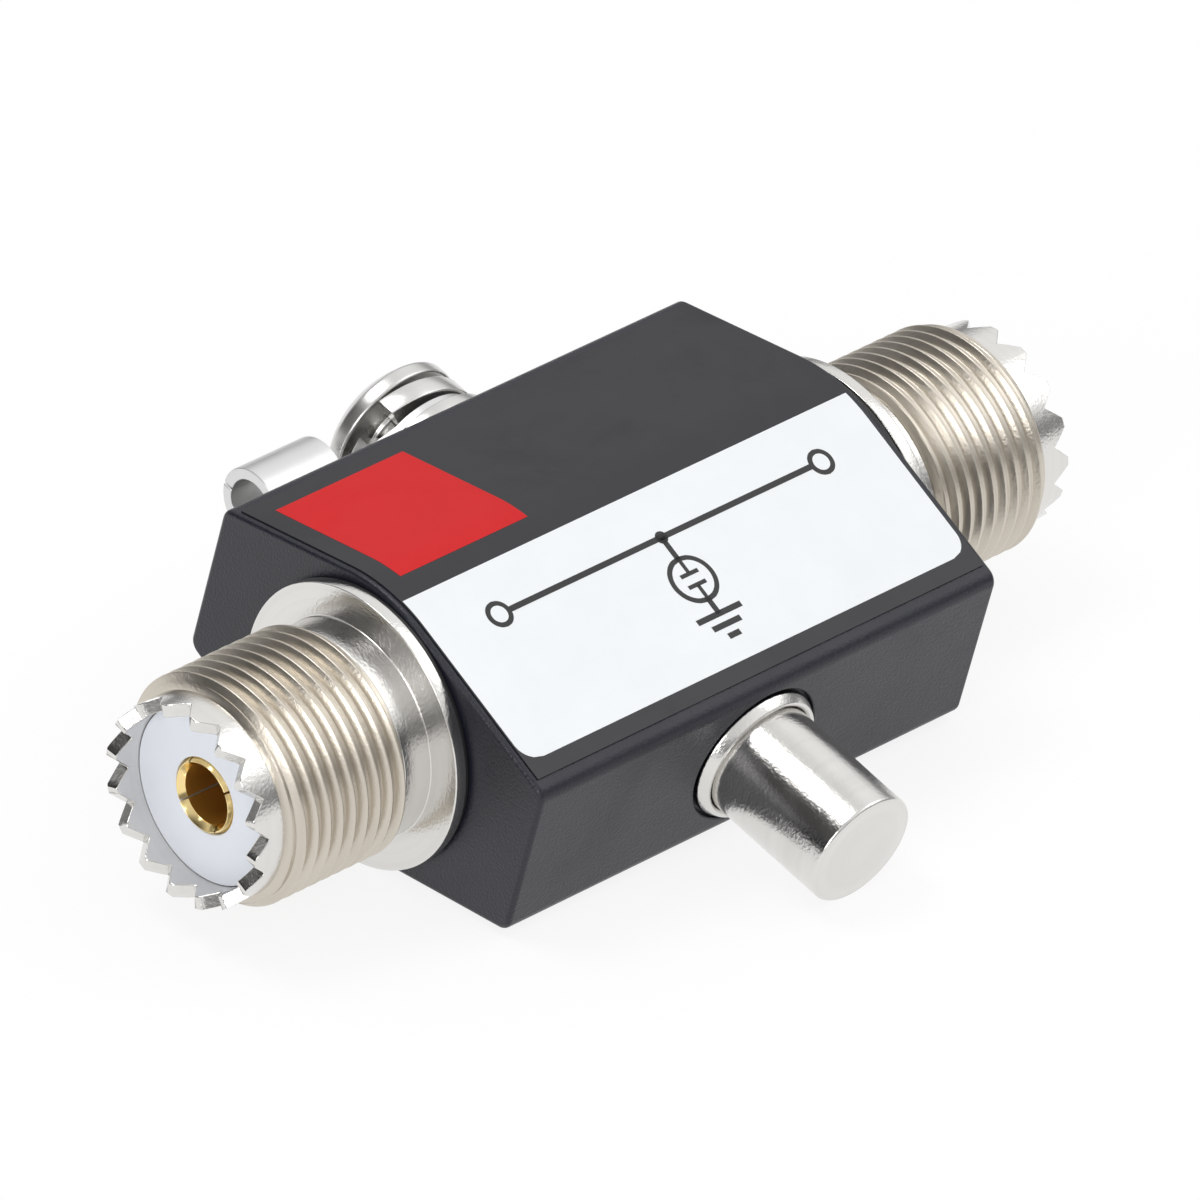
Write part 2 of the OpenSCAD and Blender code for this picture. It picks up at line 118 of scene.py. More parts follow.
# Gas tube's cap, with stations counted forwards from the coax line
CAP_R = 4.05
CAP_L = 10.2
CAP_TIP = FRONT + CAP_L
CAP_EDGE = 0.25
CAP_SHOULDER = 0.3
CAP_PITCH = 1.0
CAP_CREST = 0.15
CAP_RUN_OUT = 0.4
STEM_L = 7.0
STEM_END = FRONT - STEM_L
STEM_PROUD = 0.1
STEM_TOP = FRONT + STEM_PROUD
STEM_ROOT_R = 3.62
STEM_BORE_R = 2.95
STEM_BORE_L = 3.8
STEM_BORE_END = STEM_END + STEM_BORE_L
BUSH_R = 4.7
BUSH_BORE_R = 4.1
BUSH_PAST = 0.8
BUSH_END = STEM_END - BUSH_PAST
BUSH_PROUD = 0.7
BUSH_TOP = FRONT + BUSH_PROUD
BUSH_MOUTH = 0.2
COLLAR_RIM = 0.15
COLLAR_GAP = 0.05
COLLAR_BEVEL = 0.2
GROOVE_R = 5.1
GROOVE_T = 0.6
GROOVE_BEVEL = 0.08

# Ground screw's stack, with stations counted outwards from the back face
SCREW_R = 2.5
SCREW_ROOT_R = 2.08
SCREW_L = 10.0
SCREW_PITCH = 0.8
SCREW_CREST = 0.1
SCREW_RUN_OUT = 0.4
TAP_BEVEL = 0.2
WASHER_HOLE_R = 2.65
WASHER_R = 5.4
WASHER_T = 0.9
LUG_FOOT = 0.95
LUG_T = 0.8
LUG_RING_R = 4.75
LUG_NECK = 2.0
LUG_LEAVE = 128.8
LUG_REACH = 7.0
BARREL_R = 2.58
BARREL_L = 6.05
SEAM_W = 0.2
SPLIT_FOOT = 1.8
SPLIT_T = 1.4
SPLIT_R = 5.0
SPLIT_RISE = 0.6
SPLIT_FALL = 8
SPLIT_TURN = 237.0
SPLIT_SWEEP = 330.0
HEAD_FOOT = 3.85
HEAD_R = 5.0
HEAD_RIM = 1.0
HEAD_DOME = 1.9
HEAD_TOP = HEAD_FOOT + HEAD_RIM + HEAD_DOME
RECESS_T = 1.6
RECESS_FOOT_HALVES = (1.5, 0.36)
RECESS_MOUTH_HALVES = (2.5, 0.5)
SCREW_TIP = HEAD_FOOT - SCREW_L

# Fits: a set joint, a screw in its thread, and the room at a blind end
FIT_GAP = 0.02
THREAD_GAP = 0.05
END_ROOM = 0.3

# Label, in plan from above: Y runs to the back
FILM_FOOT = 0.02
FILM_TOP = 0.1
INK_FOOT = FILM_TOP - 0.03
INK_STEP = 0.012
FILM_X = 19.55
FILM_Y = 14.14


def at_end(side):
    """The child's Z points out of an end face, from the face: side is -1 on the left, 1 on the right."""
    return Matrix.Rotation(math.radians(90 * side), 4, "Y") @ Matrix.Translation((0, 0, BODY_L / 2))


TO_FRONT = Matrix.Rotation(math.radians(90), 4, "X")
AT_BACK = Matrix.Translation((0, FRONT, 0)) @ Matrix.Rotation(math.radians(-90), 4, "X")


class Shape:
    """Points and faces of a piece on their way to a mesh."""

    def __init__(self, points=(), faces=()):
        self.points = [Vector(p) for p in points]
        self.faces = [tuple(f) for f in faces]

    def __add__(self, other):
        shift = len(self.points)
        moved_faces = [tuple(i + shift for i in face) for face in other.faces]
        return Shape(self.points + other.points, self.faces + moved_faces)

    def placed(self, matrix):
        return Shape([matrix @ p for p in self.points], self.faces)


def grid_faces(rows, columns, wrap_rows=False, wrap_columns=False):
    """Quads between rows of points, each row with the same number of columns."""
    faces = []
    for i in range(rows if wrap_rows else rows - 1):
        for j in range(columns if wrap_columns else columns - 1):
            low, high = i * columns, (i + 1) % rows * columns
            right = (j + 1) % columns
            faces.append((low + j, low + right, high + right, high + j))
    return faces


CORNER_SHARE = 0.45


def eased(outline, ease=0.08, bits=3, closed=True):
    """An outline with each of its corners rounded by a small curve."""
    corners = [Vector(p) for p in outline]
    result = []
    for i, corner in enumerate(corners):
        if not closed and i in (0, len(corners) - 1):
            result.append(corner)
            continue
        before = corners[i - 1] - corner
        after = corners[(i + 1) % len(corners)] - corner
        cut = min(ease, CORNER_SHARE * before.length, CORNER_SHARE * after.length)
        start = corner + before.normalized() * cut
        end = corner + after.normalized() * cut
        for k in range(bits + 1):
            t = k / bits
            result.append((1 - t) ** 2 * start + 2 * t * (1 - t) * corner + t * t * end)
    return result


def turned(outline, closed=True, steps=128, start=0.0, sweep=360.0):
    """An outline of radius and height, turned round Z as on a lathe, or through part of a turn."""
    full = sweep >= 360
    columns = steps if full else steps + 1
    points = []
    for radius, height in outline:
        for j in range(columns):
            angle = math.radians(start + sweep * j / steps)
            points.append((radius * math.cos(angle), radius * math.sin(angle), height))
    faces = grid_faces(len(outline), columns, closed, full)
    if not full:
        faces.append(tuple(i * columns for i in range(len(outline))))
        faces.append(tuple(i * columns + columns - 1 for i in reversed(range(len(outline)))))
    return Shape(points, faces)


FLANK_ANGLE = 60


def threaded(crest_r, root_r, pitch, crest_w, low, high, run_out, steps=128):
    """Wall of a right-hand thread round Z that runs out at both ends."""
    flank = (crest_r - root_r) * math.tan(math.radians(FLANK_ANGLE / 2))
    root = pitch - crest_w - 2 * flank
    crest = root + flank
    turn = [(0, root_r), (root, root_r), (crest, crest_r), (crest + crest_w, crest_r), (pitch, root_r)]
    turn = eased(turn, ease=0.05, bits=2, closed=False)[:-1]
    rows = [(p.x + k * pitch, p.y) for k in range(-1, math.ceil((high - low) / pitch) + 1) for p in turn]
    points = []
    for place, radius in rows:
        for j in range(steps):
            height = min(max(low + place + pitch * j / steps, low), high)
            most = root_r + (crest_r - root_r) * min(height - low, high - height) / run_out
            r = max(root_r, min(radius, most))
            angle = 2 * math.pi * j / steps
            points.append((r * math.cos(angle), r * math.sin(angle), height))
    faces = grid_faces(len(rows), steps)
    for i in range(len(rows) - 1 - len(turn)):
        a, b = i * steps + steps - 1, (i + len(turn)) * steps
        faces.append((a, b, b + steps, a + steps))
    return Shape(points, faces)


def swept(sections):
    """Closed skin through a list of sections with the same number of points."""
    count = len(sections[0])
    points = [p for section in sections for p in section]
    faces = grid_faces(len(sections), count, wrap_columns=True)
    faces.append(tuple(reversed(range(count))))
    faces.append(tuple((len(sections) - 1) * count + i for i in range(count)))
    return Shape(points, faces)


JOIN_DIST, SLIVER_DIST = 0.0005, 0.0002


def loose_mesh(name, shape):
    """Mesh object of a shape, at rest, with doubled points joined."""
    mesh = bpy.data.meshes.new(name)
    mesh.from_pydata([tuple(p) for p in shape.points], [], shape.faces)
    work = bmesh.new()
    work.from_mesh(mesh)
    bmesh.ops.remove_doubles(work, verts=work.verts, dist=JOIN_DIST)
    bmesh.ops.dissolve_degenerate(work, edges=work.edges, dist=SLIVER_DIST)
    bmesh.ops.recalc_face_normals(work, faces=work.faces)
    work.to_mesh(mesh)
    work.free()
    mesh.transform(AT_REST)
    thing = bpy.data.objects.new(name, mesh)
    bpy.context.scene.collection.objects.link(thing)
    return thing


CUT_JOIN_M, CUT_SLIVER_M = 2e-6, 1e-6


def cut_away(target, *cutters):
    """Takes shapes out of a mesh object for good, one after the other."""
    for shape in cutters:
        cutter = loose_mesh("cutter", shape)
        tool = target.modifiers.new("cut", "BOOLEAN")
        tool.operation = "DIFFERENCE"
        tool.solver = "EXACT"
        tool.object = cutter
        graph = bpy.context.evaluated_depsgraph_get()
        target.data = bpy.data.meshes.new_from_object(target.evaluated_get(graph))
        target.modifiers.clear()
        bpy.data.objects.remove(cutter)
    work = bmesh.new()
    work.from_mesh(target.data)
    bmesh.ops.remove_doubles(work, verts=work.verts, dist=CUT_JOIN_M)
    bmesh.ops.dissolve_degenerate(work, edges=work.edges, dist=CUT_SLIVER_M)
    work.to_mesh(target.data)
    work.free()


BEVEL_FROM_ANGLE = 40


def finished(thing, finish, body, nodes=(), smooth=32, bevel=0.0):
    """Gives a mesh object its finish, rides it on a body and lets it stand for the nodes named.

    Edges sharper than the angle smooth stay sharp, and a bevel in millimetres breaks them.
    """
    thing.data.shade_smooth()
    thing.data.set_sharp_from_angle(angle=math.radians(smooth))
    thing.data.materials.clear()
    thing.data.materials.append(finish)
    if bevel:
        edge = thing.modifiers.new("edge", "BEVEL")
        edge.width = bevel * MM
        edge.segments = 2
        edge.limit_method = "ANGLE"
        edge.angle_limit = math.radians(BEVEL_FROM_ANGLE)
    thing.modifiers.new("level", "WEIGHTED_NORMAL").keep_sharp = True
    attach(thing, body)
    if nodes:
        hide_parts(*nodes)


def piece(name, shape, finish, body, nodes=(), smooth=32, bevel=0.0):
    """A finished piece straight from a shape."""
    finished(loose_mesh(name, shape), finish, body, nodes, smooth, bevel)


# Materials, with sizes of grain, rings and smears as counts to the metre

BROAD_SHARE, BAND_SHARE = 0.06, 0.12
PLAIN_SMEAR, SMEAR_FULL = (160.0, 0.42), 0.85
PLATING_GRAIN, PLATING_BUMP, PLATING_DEPTH = 4800.0, 0.8, 0.022
METAL = 1.0


def put(tree, kind, **values):
    """A node with its settings and input values: a name with capitals is an input."""
    node = tree.nodes.new(kind)
    for name, value in values.items():
        if name[0].isupper():
            node.inputs[name.replace("_", " ")].default_value = value
        else:
            setattr(node, name, value)
    return node


def wire(tree, source, output, target, entry):
    """Links an output of one node to an input of another."""
    tree.links.new(source.outputs[output], target.inputs[entry])


def effect(name, inputs, outputs):
    """An empty shader group with named sockets."""
    tree = bpy.data.node_groups.new(name, "ShaderNodeTree")
    for socket, kind, value in inputs:
        made = tree.interface.new_socket(socket, in_out="INPUT", socket_type=kind)
        made.default_value = value
    for socket in outputs:
        tree.interface.new_socket(socket, in_out="OUTPUT", socket_type="NodeSocketFloat")
    return tree, tree.nodes.new("NodeGroupInput"), tree.nodes.new("NodeGroupOutput")


def fine_grain():
    """Cast, sprayed or moulded skin: a fine grain and a broad unevenness."""
    tree, given, result = effect("fine_grain", [("Size", "NodeSocketFloat", 2000.0)], ["Height", "Tone"])
    place = put(tree, "ShaderNodeTexCoord")
    fine = put(tree, "ShaderNodeTexNoise", Detail=3.0, Roughness=0.55)
    broad = put(tree, "ShaderNodeTexNoise", Detail=4.0, Roughness=0.6)
    wide = put(tree, "ShaderNodeMath", operation="MULTIPLY")
    wide.inputs[1].default_value = BROAD_SHARE
    wire(tree, given, "Size", wide, 0)
    for noise, source, output in ((fine, given, "Size"), (broad, wide, 0)):
        wire(tree, place, "Object", noise, "Vector")
        wire(tree, source, output, noise, "Scale")
    wire(tree, fine, "Fac", result, "Height")
    wire(tree, broad, "Fac", result, "Tone")
    return tree


def turning_marks():
    """Fine rings that a lathe tool leaves round an axis."""
    tree, given, result = effect(
        "turning_marks",
        [("Axis", "NodeSocketVector", (1, 0, 0)), ("Point", "NodeSocketVector", (0, 0, 0)),
         ("Lines", "NodeSocketFloat", 5000.0)],
        ["Height", "Tone"],
    )
    place = put(tree, "ShaderNodeTexCoord")
    arm = put(tree, "ShaderNodeVectorMath", operation="SUBTRACT")
    along = put(tree, "ShaderNodeVectorMath", operation="DOT_PRODUCT")
    across = put(tree, "ShaderNodeVectorMath", operation="CROSS_PRODUCT")
    radius = put(tree, "ShaderNodeVectorMath", operation="LENGTH")
    spot = put(tree, "ShaderNodeCombineXYZ")
    lines = put(tree, "ShaderNodeTexNoise", Detail=2.0, Roughness=0.6)
    bands = put(tree, "ShaderNodeTexNoise", Detail=3.0, Roughness=0.6)
    wide = put(tree, "ShaderNodeMath", operation="MULTIPLY")
    wide.inputs[1].default_value = BAND_SHARE
    wire(tree, place, "Object", arm, 0)
    wire(tree, given, "Point", arm, 1)
    for node in (along, across):
        wire(tree, arm, "Vector", node, 0)
        wire(tree, given, "Axis", node, 1)
    wire(tree, across, "Vector", radius, 0)
    wire(tree, along, "Value", spot, "X")
    wire(tree, radius, "Value", spot, "Y")
    wire(tree, given, "Lines", wide, 0)
    for noise, source, output in ((lines, given, "Lines"), (bands, wide, 0)):
        wire(tree, spot, "Vector", noise, "Vector")
        wire(tree, source, output, noise, "Scale")
    wire(tree, lines, "Fac", result, "Height")
    wire(tree, bands, "Fac", result, "Tone")
    return tree


def handling_marks():
    """Faint smears where fingers have been: a mask from clean to smeared."""
    tree, given, result = effect(
        "handling_marks",
        [("Size", "NodeSocketFloat", 180.0), ("Cover", "NodeSocketFloat", 0.5)],
        ["Mask"],
    )
    place = put(tree, "ShaderNodeTexCoord")
    smear = put(tree, "ShaderNodeTexNoise", Detail=5.0, Roughness=0.62, Distortion=0.6)
    step = put(tree, "ShaderNodeMapRange", interpolation_type="SMOOTHSTEP")
    wire(tree, place, "Object", smear, "Vector")
    wire(tree, given, "Size", smear, "Scale")
    wire(tree, smear, "Fac", step, "Value")
    wire(tree, given, "Cover", step, "From Min")
    step.inputs["From Max"].default_value = SMEAR_FULL
    wire(tree, step, "Result", result, "Mask")
    return tree


FINE_GRAIN = fine_grain()
TURNING_MARKS = turning_marks()
HANDLING_MARKS = handling_marks()


def surface(name, dark, light, rough, metallic=0.0, grain=None, lathe=None, lines=5000.0, depth=0.02,
            bump=0.2, smear=None, specular=0.5):
    """A material whose tone, gloss and relief come from the shared effects.

    dark and light bound the tone, and rough bounds the gloss from clean to smeared. grain is the size of
    a cast or moulded skin, and lathe the axis and point of turned rings. With both, the grain is the
    slight unevenness of plating over the rings.
    """
    finish = bpy.data.materials.new(name)
    finish.use_nodes = True
    tree = finish.node_tree
    skin = tree.nodes["Principled BSDF"]
    skin.inputs["Metallic"].default_value = metallic
    skin.inputs["Specular IOR Level"].default_value = specular
    relief = put(tree, "ShaderNodeGroup", node_tree=TURNING_MARKS if lathe else FINE_GRAIN)
    if lathe:
        axis, point = lathe
        relief.inputs["Axis"].default_value = axis
        relief.inputs["Point"].default_value = point
        relief.inputs["Lines"].default_value = lines
    else:
        relief.inputs["Size"].default_value = grain
    tone = put(tree, "ShaderNodeMix", data_type="RGBA")
    tone.inputs["A"].default_value = (*dark, 1)
    tone.inputs["B"].default_value = (*light, 1)
    wire(tree, relief, "Tone", tone, "Factor")
    wire(tree, tone, "Result", skin, "Base Color")
    marks = put(tree, "ShaderNodeGroup", node_tree=HANDLING_MARKS)
    marks.inputs["Size"].default_value, marks.inputs["Cover"].default_value = smear or PLAIN_SMEAR
    gloss = put(tree, "ShaderNodeMapRange")
    gloss.inputs["To Min"].default_value, gloss.inputs["To Max"].default_value = rough
    wire(tree, marks, "Mask", gloss, "Value")
    wire(tree, gloss, "Result", skin, "Roughness")
    height = put(tree, "ShaderNodeBump", Strength=bump, Distance=depth * MM)
    wire(tree, relief, "Height", height, "Height")
    wire(tree, height, "Normal", skin, "Normal")
    if lathe and grain:
        plating = put(tree, "ShaderNodeGroup", node_tree=FINE_GRAIN)
        plating.inputs["Size"].default_value = grain
        uneven = put(tree, "ShaderNodeBump", Strength=PLATING_BUMP, Distance=PLATING_DEPTH * MM)
        wire(tree, plating, "Height", uneven, "Height")
        wire(tree, uneven, "Normal", height, "Normal")
    return finish


LINE_LATHE = ((1, 0, 0), tuple(line_place))
CAP_LATHE = (tuple(cap_axis), tuple(joints["cap_turn"]["pos_m"]))
SCREW_LATHE = (tuple(joints["screw_turn"]["axis"]), tuple(joints["screw_turn"]["pos_m"]))
NICKEL_DARK, NICKEL_LIGHT = (0.66, 0.645, 0.62), (0.80, 0.79, 0.77)

# Black paint whose blue tint is a painted reflection: a bluish sheen, painted evenly over the whole block
black_paint = surface("black_paint", (0.006, 0.0067, 0.0135), (0.011, 0.012, 0.021), (0.34, 0.44), grain=5200.0,
                      depth=0.05, bump=0.8, smear=(120.0, 0.4))
gasket_rubber = surface("gasket_rubber", (0.012, 0.012, 0.012), (0.024, 0.024, 0.024), (0.5, 0.62), grain=5000.0)
socket_nickel = surface("socket_nickel", NICKEL_DARK, NICKEL_LIGHT, (0.15, 0.26), METAL, PLATING_GRAIN, LINE_LATHE,
                        lines=7000.0, depth=0.01, bump=0.2)
# Nickel of the thread, its lead cone and the shell's bore, painted darker and browner than the flange's nickel as
# painted shade and a painted brown reflection of the black block
thread_nickel_painted_shade = surface("thread_nickel_painted_shade", (0.55, 0.50, 0.43), (0.71, 0.66, 0.58), (0.30, 0.40), METAL,
                        PLATING_GRAIN, LINE_LATHE, lines=9000.0, depth=0.01, bump=0.1)
cap_nickel = surface("cap_nickel", NICKEL_DARK, NICKEL_LIGHT, (0.17, 0.27), METAL, PLATING_GRAIN, CAP_LATHE,
                     lines=6000.0, depth=0.01, bump=0.2)
insulator_white = surface("insulator_white", (0.72, 0.75, 0.82), (0.80, 0.83, 0.89), (0.34, 0.46), grain=2500.0,
                          depth=0.01, bump=0.12)
contact_gold = surface("contact_gold", (0.86, 0.64, 0.27), (0.98, 0.79, 0.40), (0.14, 0.26), METAL,
                       lathe=LINE_LATHE, lines=9000.0, depth=0.006, bump=0.15)
# Gold of the contacts' bores: rougher, and painted darker and browner for the shade inside them
bore_gold_painted_shade = surface("bore_gold_painted_shade", (0.62, 0.36, 0.07), (0.80, 0.50, 0.12), (0.50, 0.62), METAL, lathe=LINE_LATHE,
                    lines=9000.0, depth=0.01, bump=0.2)
screw_zinc = surface("screw_zinc", (0.62, 0.615, 0.60), (0.77, 0.765, 0.75), (0.26, 0.38), METAL,
                     lathe=SCREW_LATHE, lines=5000.0, depth=0.012, bump=0.18)
lug_tin = surface("lug_tin", (0.66, 0.66, 0.655), (0.80, 0.80, 0.795), (0.36, 0.48), METAL, grain=1800.0,
                  depth=0.012, bump=0.16)
tube_white = surface("tube_white", (0.76, 0.74, 0.68), (0.84, 0.82, 0.77), (0.45, 0.6), grain=4000.0)
film_black = surface("film_black", (0.010, 0.010, 0.013), (0.016, 0.016, 0.020), (0.40, 0.52), grain=5200.0,
                     depth=0.012, bump=0.3)
field_white = surface("field_white", (0.76, 0.785, 0.80), (0.82, 0.84, 0.855), (0.36, 0.48), grain=4500.0,
                      depth=0.006, bump=0.1)
field_red = surface("field_red", (0.55, 0.008, 0.010), (0.63, 0.012, 0.014), (0.44, 0.54), grain=4500.0,
                    depth=0.006, bump=0.1, specular=0.2)
ink_black = surface("ink_black", (0.008, 0.008, 0.009), (0.014, 0.014, 0.015), (0.42, 0.54), grain=4500.0,
                    depth=0.006, bump=0.1)

# Block

def arc(centre, radius, first, last, bits):
    """Points on an arc between two angles in degrees."""
    angles = [math.radians(first + (last - first) * k / bits) for k in range(bits + 1)]
    return [(centre[0] + radius * math.cos(a), centre[1] + radius * math.sin(a)) for a in angles]


def roof_normal(face):
    """Angle of a roof slope's normal: face is -1 for the front slope, 1 for the back slope."""
    reach = Vector((face * CORNER_Y - RIDGE_Y, CORNER_Z - RIDGE_Z))
    turn = math.degrees(math.acos((RIDGE_R - EDGE_R) / reach.length))
    return math.degrees(math.atan2(reach.y, reach.x)) + face * turn


ROOF = {-1: roof_normal(-1), 1: roof_normal(1)}


def block_outline(grow=0.0):
    """Section of the block in Y and Z, grown on every side."""
    ridge = RIDGE_R + grow
    edge = EDGE_R + grow
    upper = arc((CORNER_Y, CORNER_Z), edge, 0, ROOF[1], EDGE_BITS)
    upper += arc((RIDGE_Y, RIDGE_Z), ridge, ROOF[1], ROOF[-1], RIDGE_BITS)
    upper += arc((-CORNER_Y, CORNER_Z), edge, ROOF[-1], 180, EDGE_BITS)
    lower = [(y, -z) for y, z in reversed(upper)]
    return upper + lower


def block_bar():
    """Bar of the block's section with rounded edges at both ends."""
    bits = 5
    stations = []
    for k in range(bits + 1):
        turn = math.pi / 2 * k / bits
        stations.append((BODY_L / 2 - END_BEVEL + END_BEVEL * math.cos(turn), END_BEVEL * (math.sin(turn) - 1)))
    stations += [(-x, grow) for x, grow in reversed(stations)]
    return swept([[(x, y, z) for y, z in block_outline(grow)] for x, grow in stations])


def drill(steps, place):
    """Round cutter along Z from steps of radius and height, closed at both ends."""
    return turned([(0, steps[0][1]), *steps, (0, steps[-1][1])], closed=False, steps=96).placed(place)


over = 2.0
tail_r, tail_end = TAIL_R + FIT_GAP, BODY_L / 2 - TAIL_L - END_ROOM
bush_r, groove_floor = BUSH_R + FIT_GAP, FRONT - GROOVE_T
tap_r = SCREW_R + THREAD_GAP
block = loose_mesh("block", block_bar())
cut_away(
    block,
    drill([(STEM_BORE_R, 0), (STEM_BORE_R, BUSH_END), (bush_r, BUSH_END), (bush_r, groove_floor),
           (GROOVE_R, groove_floor), (GROOVE_R, FRONT - GROOVE_BEVEL),
           (GROOVE_R + GROOVE_BEVEL + over, FRONT + over)], TO_FRONT),
    drill([(tap_r, SCREW_TIP - END_ROOM), (tap_r, -TAP_BEVEL), (tap_r + TAP_BEVEL + over, over)], AT_BACK),
    drill([(tail_r, -BODY_L / 2 - over), (tail_r, -tail_end), (LINE_BORE_R, -tail_end), (LINE_BORE_R, tail_end),
           (tail_r, tail_end), (tail_r, BODY_L / 2 + over)], Matrix.Rotation(math.radians(90), 4, "Y")),
)
finished(block, black_paint, "block", ["body_block"], smooth=30)

# Sockets

def socket_flange():
    """Flange and neck of a socket, and its tail in the block."""
    return turned(eased([(TAIL_BORE_R, -TAIL_L), (TAIL_R, -TAIL_L), (TAIL_R, GASKET_T), (FLANGE_R, GASKET_T),
                         (FLANGE_R, FLANGE_FRONT), (NECK_R, FLANGE_FRONT), (NECK_R, THREAD_START),
                         (TAIL_BORE_R, THREAD_START)], ease=0.1))


def socket_thread():
    """Thread of a socket, with the cone that leads on to it and the bore inside."""
    sunk, lap = 0.03, 0.02
    thread = threaded(THREAD_R, THREAD_ROOT_R, THREAD_PITCH, THREAD_CREST, THREAD_START, THREAD_STOP, THREAD_RUN_OUT)
    lead_top = CROWN_START + lap
    wall = turned([(THREAD_ROOT_R, THREAD_STOP), (CROWN_R - sunk, lead_top), (SHELL_BORE_R, lead_top),
                   (SHELL_BORE_R, THREAD_START), (THREAD_ROOT_R, THREAD_START)], closed=False)
    return thread + wall


def crown_height(radius, angle):
    """Height of the crown's upper edge: straight V gaps across it leave a tooth between each pair."""
    pitch = 2 * math.pi / TEETH
    off = (angle + pitch / 2) % pitch - pitch / 2
    valley = CROWN_TIP - TOOTH_HALF * TOOTH_SLOPE
    return min(CROWN_TIP, valley + abs(radius * math.sin(off)) * TOOTH_SLOPE)


def socket_crown():
    """Ring of sharp teeth at the socket's mouth."""
    pitch = 2 * math.pi / TEETH
    outer_land = math.asin(TOOTH_HALF / CROWN_R)
    inner_land = math.asin(TOOTH_HALF / SHELL_BORE_R)
    bits = 4
    half = [outer_land * k / bits for k in range(bits + 1)] + [inner_land, pitch / 2]
    one = half + [pitch - a for a in reversed(half[1:-1])]
    angles = [i * pitch + a for i in range(TEETH) for a in one]
    foot, shoulder = CROWN_START - 1.2, CROWN_START - 0.3
    loops = []
    for radius, height in ((SHELL_BORE_R, foot), (CROWN_R, foot), (CROWN_R, shoulder), (CROWN_R, None),
                           (SHELL_BORE_R, None)):
        loops.append([
            (radius * math.cos(a), radius * math.sin(a), crown_height(radius, a) if height is None else height)
            for a in angles
        ])
    points = [p for loop in loops for p in loop]
    crown = Shape(points, grid_faces(len(loops), len(angles), wrap_rows=True, wrap_columns=True))
    return crown.placed(Matrix.Rotation(math.radians(CROWN_TURN), 4, "Z"))


def socket_contact():
    """Slotted spring contact: a cup, and fingers with a bevel inside the mouth and a nose outside."""
    mouth_depth, nose_depth = 1.3 * CONTACT_MOUTH, 2 * CONTACT_NOSE
    cup = turned([(0, CONTACT_FLOOR), (CONTACT_BORE_R, CONTACT_FLOOR), (CONTACT_BORE_R, SLOT_FOOT),
                  (CONTACT_R, SLOT_FOOT), (CONTACT_R, -CONTACT_TAIL), (0, -CONTACT_TAIL)], closed=False, steps=96)
    finger = eased([(CONTACT_BORE_R, SLOT_FOOT), (CONTACT_BORE_R, CONTACT_TIP - mouth_depth),
                    (CONTACT_BORE_R + CONTACT_MOUTH, CONTACT_TIP), (CONTACT_R - CONTACT_NOSE, CONTACT_TIP),
                    (CONTACT_R, CONTACT_TIP - nose_depth), (CONTACT_R, SLOT_FOOT)], ease=0.04)
    gap = math.degrees(SLOT_W / CONTACT_BORE_R)
    share = 360 / FINGERS
    for k in range(FINGERS):
        cup = cup + turned(finger, steps=24, start=share / 2 + share * k + gap / 2, sweep=share - gap)
    return cup


def socket_gasket():
    """Thin seal under the flange."""
    inner = TAIL_R + FIT_GAP
    return turned(eased([(inner, 0), (GASKET_R, 0), (GASKET_R, GASKET_T), (inner, GASKET_T)], ease=0.1))


def socket_insulator():
    """Stepped plug that fills the shell round the contact."""
    hole, plug, tail = CONTACT_R + FIT_GAP, SHELL_BORE_R - FIT_GAP, TAIL_BORE_R - FIT_GAP
    return turned(eased([(hole, -TAIL_L), (hole, INSULATOR_FACE), (plug, INSULATOR_FACE),
                         (plug, THREAD_START + FIT_GAP), (tail, THREAD_START + FIT_GAP), (tail, -TAIL_L)],
                        ease=0.1))


# The contacts' bores have a rougher gold than their noses, painted darker and browner as the shade inside the bores
bore_reach = CONTACT_BORE_R + 0.01
for side, hand in ((-1, "left"), (1, "right")):
    end = at_end(side)
    piece(f"{hand}_gasket_ring", socket_gasket().placed(end), gasket_rubber, "block", [f"{hand}_gasket"])
    piece(f"{hand}_socket_flange", socket_flange().placed(end), socket_nickel, "block",
          [f"{hand}_shell"], smooth=40)
    piece(f"{hand}_socket_thread", socket_thread().placed(end), thread_nickel_painted_shade, "block",
          [f"{hand}_shell"], smooth=40)
    piece(f"{hand}_socket_crown", socket_crown().placed(end), socket_nickel, "block",
          [f"{hand}_shell"], smooth=25, bevel=0.05)
    piece(f"{hand}_socket_insulator", socket_insulator().placed(end), insulator_white, "block",
          [f"{hand}_insulator"])
    contact = loose_mesh(f"{hand}_socket_contact", socket_contact().placed(end))
    finished(contact, contact_gold, "block", [f"{hand}_contact"])
    contact.data.materials.append(bore_gold_painted_shade)
    for face in contact.data.polygons:
        spot = AT_REST.inverted() @ face.center
        face.material_index = int(math.hypot(spot.y, spot.z) < bore_reach)

# Cap and bush

collar_r, collar_foot = BUSH_R + COLLAR_RIM, FRONT - GROOVE_T + COLLAR_GAP
bush = turned(eased([(BUSH_BORE_R, BUSH_END), (BUSH_BORE_R, BUSH_TOP - BUSH_MOUTH),
                     (BUSH_BORE_R + BUSH_MOUTH, BUSH_TOP), (BUSH_R - COLLAR_BEVEL, BUSH_TOP),
                     (collar_r, FRONT + COLLAR_GAP), (collar_r, collar_foot), (BUSH_R, collar_foot),
                     (BUSH_R, BUSH_END)]))
piece("cap_bush_ring", bush.placed(TO_FRONT), cap_nickel, "block", ["cap_bush"])

